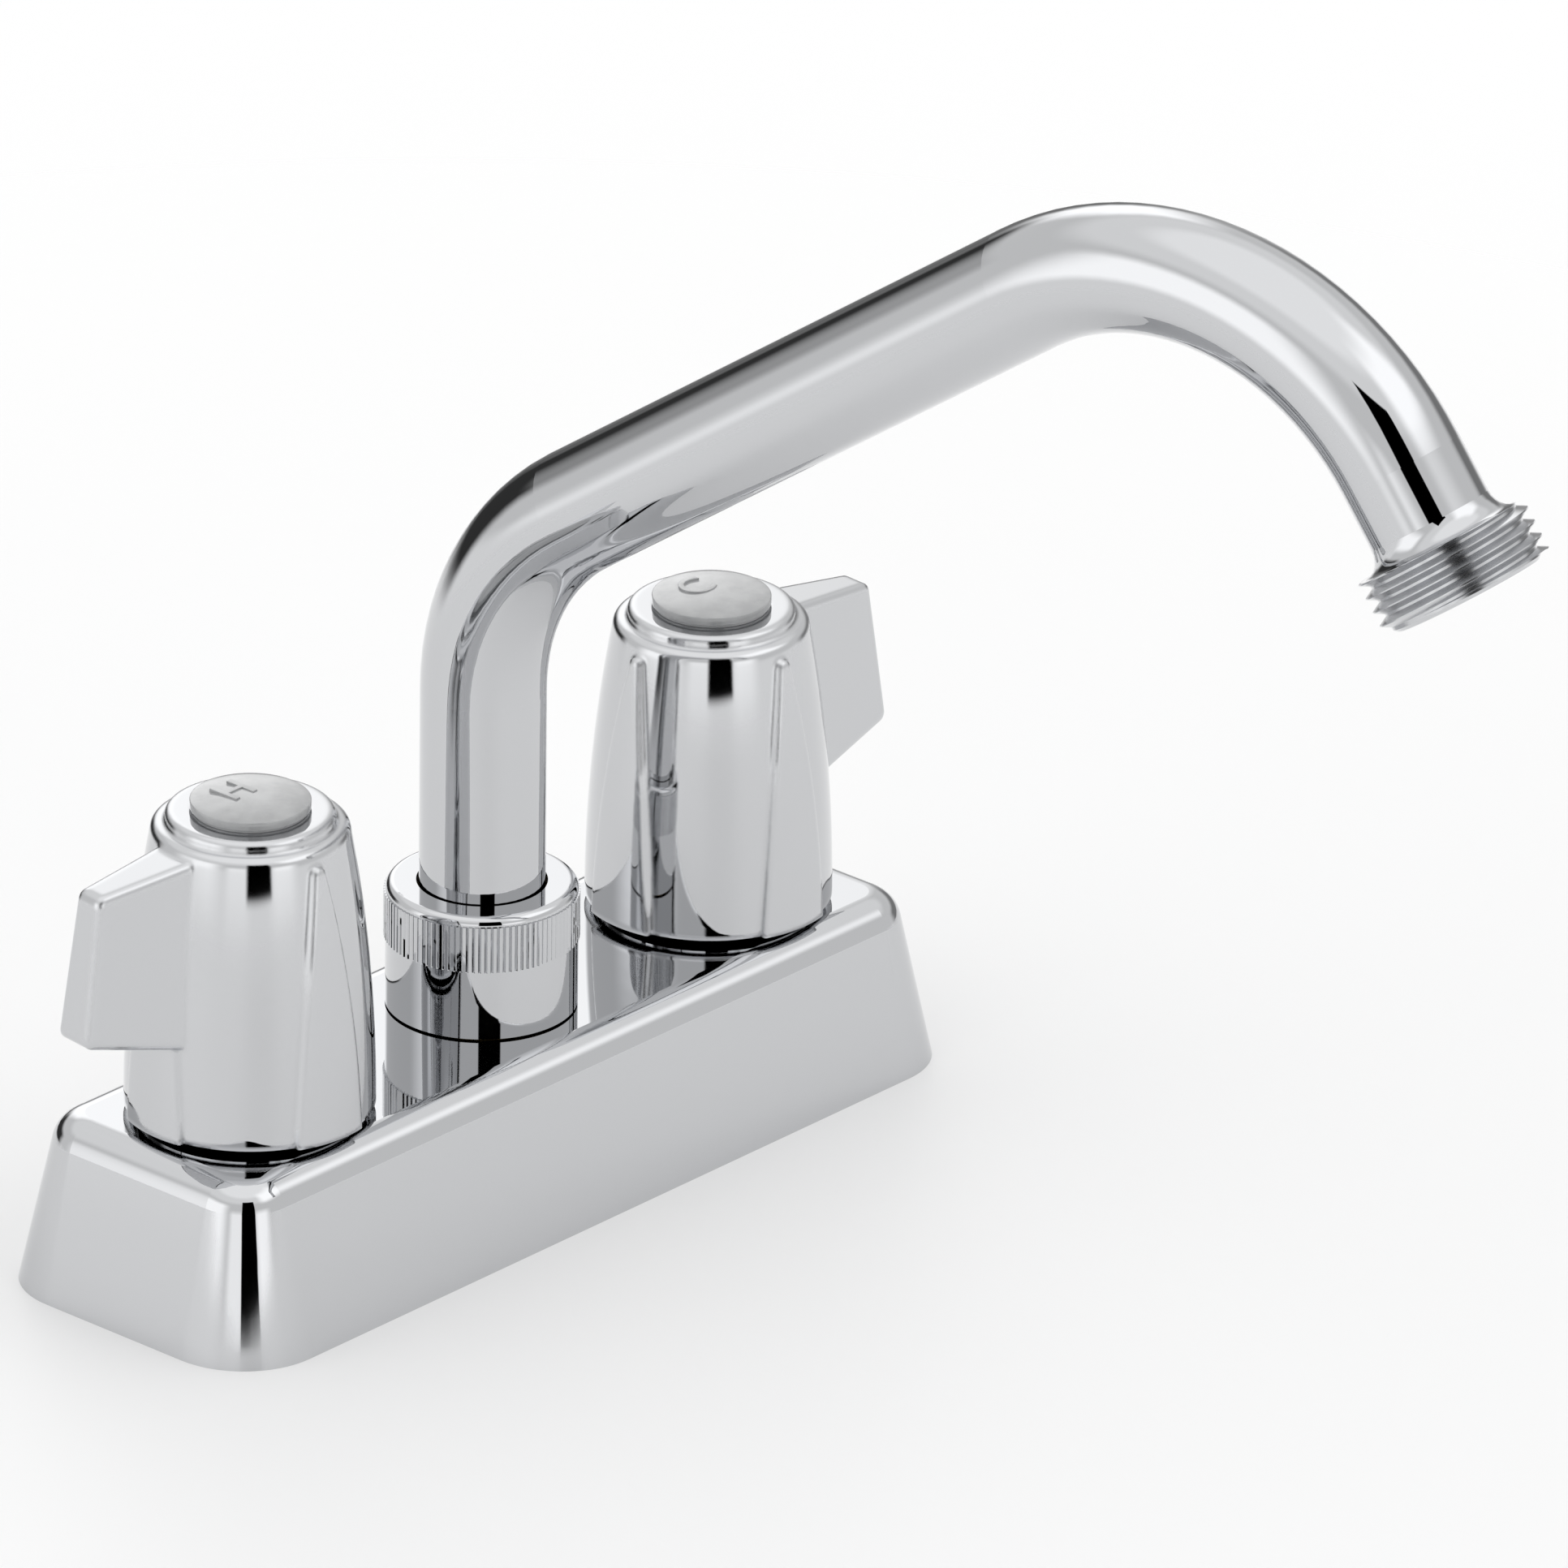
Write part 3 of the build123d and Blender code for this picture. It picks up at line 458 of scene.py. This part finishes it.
def finishMesh(piece, angle):
    # doubles merged, faces outwards, edges sharper than the angle kept sharp, place in the mesh
    only(piece)
    bpy.ops.object.transform_apply(location=True, rotation=True, scale=True)
    bpy.ops.object.mode_set(mode="EDIT")
    bpy.ops.mesh.select_all(action="SELECT")
    bpy.ops.mesh.remove_doubles(threshold=mergeWithin)
    bpy.ops.mesh.normals_make_consistent(inside=False)
    bpy.ops.object.mode_set(mode="OBJECT")
    bpy.ops.object.shade_smooth_by_angle(angle=math.radians(angle))


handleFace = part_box("hot_handle")[1][2]
indexDisc = {
    "segments": 96,
    "side": 1.75 * mm,  # height of its edge over the handle's face
    "dome": 0.7 * mm,  # how much higher the middle is
    "steps": 8,
    "foot": 0.35 * mm,  # how far the foot stands back, and how high it is
    "footHeight": 0.45 * mm,
    "footSunk": 0.05 * mm,
    "round": 0.25 * mm,
    "roundSteps": 4,
    "roundOver": 50,  # degrees: sharper edges are rounded
    "sharpOver": 35,  # degrees: sharper edges are shaded sharp
    "letters": {"hot": "H", "cold": "C"},
    "letterSize": 5.4 / 0.7 * mm,  # a capital is 0.7 of its font's size
    "letterRaise": 0.2 * mm,
    "letterRound": 0.08 * mm,
    "letterPlace": (-0.8 * mm, 2.4 * mm),  # from the middle, to the right and back
    "letterShare": 0.86,  # of the dome's height, where the letter stands in it
}


def addDiscBody(low, high):
    # a disc with a domed top on a foot that stands back a little, down into the handle's face
    radius = (high.x - low.x) / 2
    deselect()
    bpy.ops.mesh.primitive_cylinder_add(
        vertices=indexDisc["segments"], radius=radius, depth=high.z - low.z,
        location=(low + high) / 2,
    )
    disc = bpy.context.object
    bpy.ops.object.transform_apply(location=True, rotation=True, scale=True)
    bpy.ops.object.mode_set(mode="EDIT")
    selectFaces(disc, lambda face: face.normal.z < -facing)
    bpy.ops.mesh.inset(thickness=indexDisc["foot"], depth=0)
    bpy.ops.mesh.extrude_region_move(
        TRANSFORM_OT_translate={"value": (0, 0, handleFace - indexDisc["footSunk"] - low.z)}
    )
    selectFaces(disc, lambda face: face.normal.z > facing)
    bulge = (radius**2 + indexDisc["dome"] ** 2) / (2 * indexDisc["dome"])
    heights = [
        math.sqrt(bulge**2 - (radius * (1 - step / indexDisc["steps"])) ** 2)
        for step in range(indexDisc["steps"])
    ]
    for start, end in zip(heights, heights[1:]):
        bpy.ops.mesh.inset(thickness=radius / indexDisc["steps"], depth=end - start)
    bpy.ops.object.mode_set(mode="OBJECT")
    soften = disc.modifiers.new("soften", "BEVEL")
    soften.width = indexDisc["round"]
    soften.segments = indexDisc["roundSteps"]
    soften.limit_method = "ANGLE"
    soften.angle_limit = math.radians(indexDisc["roundOver"])
    applyAll(disc)
    return disc


def addInitial(side, place):
    # the initial of hot or cold, raised and with rounded edges
    bpy.ops.object.text_add(location=(0, 0, 0))
    letter = bpy.context.object
    letter.data.body = indexDisc["letters"][side]
    letter.data.size = indexDisc["letterSize"]
    letter.data.extrude = indexDisc["letterRaise"]
    letter.data.bevel_depth = indexDisc["letterRound"]
    letter.data.align_x = "CENTER"
    letter.data.align_y = "CENTER"
    only(letter)
    bpy.ops.object.convert(target="MESH")
    letter = bpy.context.object
    letter.location = place
    bpy.ops.object.transform_apply(location=True, rotation=True, scale=True)
    return letter


def addIndexDisc(side):
    # the clear disc on the handle's top, with its initial standing on it
    low, high = (Vector(corner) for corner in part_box(side + "_index_button"))
    low.z = handleFace + indexDisc["footHeight"]
    high.z = handleFace + indexDisc["side"]
    middle = (low + high) / 2
    disc = addDiscBody(low, high)
    disc.name = side + "_index_disc"
    letter = addInitial(side, (
        middle.x + indexDisc["letterPlace"][0],
        middle.y + indexDisc["letterPlace"][1],
        high.z + indexDisc["dome"] * indexDisc["letterShare"],
    ))
    only(disc)
    letter.select_set(True)
    bpy.ops.object.join()
    finishMesh(disc, indexDisc["sharpOver"])
    disc.data.materials.clear()
    disc.data.materials.append(finishes["clear_acrylic"])
    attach(disc, side + "_side")
    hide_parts(side + "_index_button")


for side in ("hot", "cold"):
    addIndexDisc(side)
print("index discs made")


# sizes across are radii
hoseEnd = {
    "mount": "hose_thread",  # stands on the axis, at the middle of the threaded length
    "tube": 9.525 * mm,
    "bore": 7.6 * mm,
    "mouthBore": 9.6 * mm,
    "mouthDepth": 4.0 * mm,
    "spigot": 8.3 * mm,
    "spigotLength": 6.0 * mm,
    "mouthEdge": 0.3 * mm,  # small cuts on the open end's edges
    "endEdge": 0.5 * mm,
    "flare": 3.4 * mm,  # length of the neck that widens into the thread
    "flareSteps": 6,
    "root": 12.0 * mm,
    "satinFrom": 11.9 * mm,  # faces this far from the axis are the thread's
    "crest": 13.47 * mm,
    "crestWidth": 0.2 * mm,
    "ridgeSunk": 0.3 * mm,  # how far the ridge reaches into the core
    "ridgeShare": 0.98,  # of the pitch, which the ridge's foot takes
    "pitch": 2.209 * mm,
    "turns": 4,  # pitches in the threaded length
    "lead": 0.9 * mm,  # bare length between the thread and the mouth
    "runOut": 0.05 * mm,  # and between the neck and the thread
    "segments": 128,
    "sharpOver": 30,  # degrees: sharper edges are shaded sharp
}


threadLength = hoseEnd["pitch"] * hoseEnd["turns"]
hoseEndLength = hoseEnd["flare"] + threadLength


def hoseRings():
    # radius and height of each ring of the core: the neck, the mouth, the bore and the spigot
    size, length = hoseEnd, hoseEndLength
    neck = []
    for step in range(size["flareSteps"] + 1):
        lean = math.radians(90 * step / size["flareSteps"])
        neck.append((
            size["tube"] + (size["root"] - size["tube"]) * (1 - math.cos(lean)),
            size["flare"] * math.sin(lean),
        ))
    return neck + [
        (size["root"], length - size["endEdge"]),
        (size["root"] - size["endEdge"], length),
        (size["mouthBore"] + size["mouthEdge"], length),
        (size["mouthBore"], length - size["mouthEdge"]),
        (size["mouthBore"], length - size["mouthDepth"]),
        (size["bore"], length - size["mouthDepth"]),
        (size["bore"], -size["spigotLength"]),
        (size["spigot"], -size["spigotLength"]),
        (size["spigot"], 0),
    ]


def addHoseCore():
    # the rings joined into one closed turned body round Z
    rings = hoseRings()
    deselect()
    bpy.ops.mesh.primitive_circle_add(
        vertices=hoseEnd["segments"], radius=rings[0][0], fill_type="NOTHING", location=(0, 0, 0)
    )
    core = bpy.context.object
    bpy.ops.object.mode_set(mode="EDIT")
    bpy.ops.mesh.select_mode(type="EDGE")
    bpy.ops.mesh.select_all(action="SELECT")
    for (lastRadius, lastHeight), (radius, height) in zip(rings, rings[1:]):
        bpy.ops.mesh.extrude_region_move(
            TRANSFORM_OT_translate={"value": (0, 0, height - lastHeight)}
        )
        share = radius / lastRadius
        bpy.ops.transform.resize(value=(share, share, 1), center_override=(0, 0, height))
    bpy.ops.mesh.select_all(action="DESELECT")
    bpy.ops.mesh.select_non_manifold()
    bpy.ops.mesh.bridge_edge_loops()
    bpy.ops.mesh.select_all(action="SELECT")
    bpy.ops.mesh.normals_make_consistent(inside=False)
    bpy.ops.object.mode_set(mode="OBJECT")
    return core


def addHoseRidge():
    # the thread's ridge: its section, wound past both ends by a screw modifier and cut off square
    size = hoseEnd
    foot = size["root"] - size["ridgeSunk"]
    half = size["pitch"] * size["ridgeShare"] / 2
    corners = [
        (foot, -half), (size["crest"], -size["crestWidth"] / 2),
        (size["crest"], size["crestWidth"] / 2), (foot, half),
    ]
    turns = size["turns"] + 1
    deselect()
    bpy.ops.mesh.primitive_circle_add(
        vertices=len(corners), radius=1, fill_type="NOTHING", location=(0, 0, 0)
    )
    ridge = bpy.context.object
    ridge.name = "ridge"
    start = size["flare"] - half
    for point, (out, along) in zip(ridge.data.vertices, corners):
        point.co = (out, 0, start + along)
    wind = ridge.modifiers.new("wind", "SCREW")
    wind.angle = math.radians(360 * turns)
    wind.screw_offset = size["pitch"] * turns
    wind.steps = size["segments"] * turns
    wind.render_steps = wind.steps
    wind.use_merge_vertices = False
    applyAll(ridge)
    bpy.ops.object.mode_set(mode="EDIT")
    bpy.ops.mesh.select_mode(type="EDGE")
    bpy.ops.mesh.select_all(action="DESELECT")
    bpy.ops.mesh.select_non_manifold()
    bpy.ops.mesh.edge_face_add()
    ends = ((size["flare"] + size["runOut"], -1), (hoseEndLength - size["lead"], 1))
    for height, way in ends:
        bpy.ops.mesh.select_all(action="SELECT")
        bpy.ops.mesh.bisect(
            plane_co=(0, 0, height), plane_no=(0, 0, way), use_fill=True, clear_outer=True
        )
    bpy.ops.mesh.select_all(action="SELECT")
    bpy.ops.mesh.normals_make_consistent(inside=False)
    bpy.ops.object.mode_set(mode="OBJECT")
    return ridge


def addHoseEnd():
    # the spout's end: a neck that flares into a coarse hose thread, one helical ridge on a core
    core = addHoseCore()
    core.name = "hose_thread"
    ridge = addHoseRidge()
    weld = core.modifiers.new("weld", "BOOLEAN")
    weld.operation = "UNION"
    weld.solver = "EXACT"
    weld.object = ridge
    applyAll(core)
    bpy.data.objects.remove(ridge)

    mounts = {mount["name"]: mount for mount in frame["record"]["mounts"]}
    middle = Vector(mounts[hoseEnd["mount"]]["pos_m"])
    along = Vector(mounts[hoseEnd["mount"]]["axis"]).normalized()
    core.matrix_world = (
        Matrix.Translation(middle - along * (hoseEnd["flare"] + threadLength / 2))
        @ along.to_track_quat("Z", "Y").to_matrix().to_4x4()
    )
    # the thread's faces take the satin plating
    core.data.materials.append(finishes["chrome_plate"])
    core.data.materials.append(threadChrome)
    for face in core.data.polygons:
        out = math.hypot(face.center.x, face.center.y)
        face.material_index = 1 if out > hoseEnd["satinFrom"] else 0
    finishMesh(core, hoseEnd["sharpOver"])
    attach(core, "spout")
    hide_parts("hose_outlet")
    print("hose end", len(core.data.polygons), "faces")


addHoseEnd()
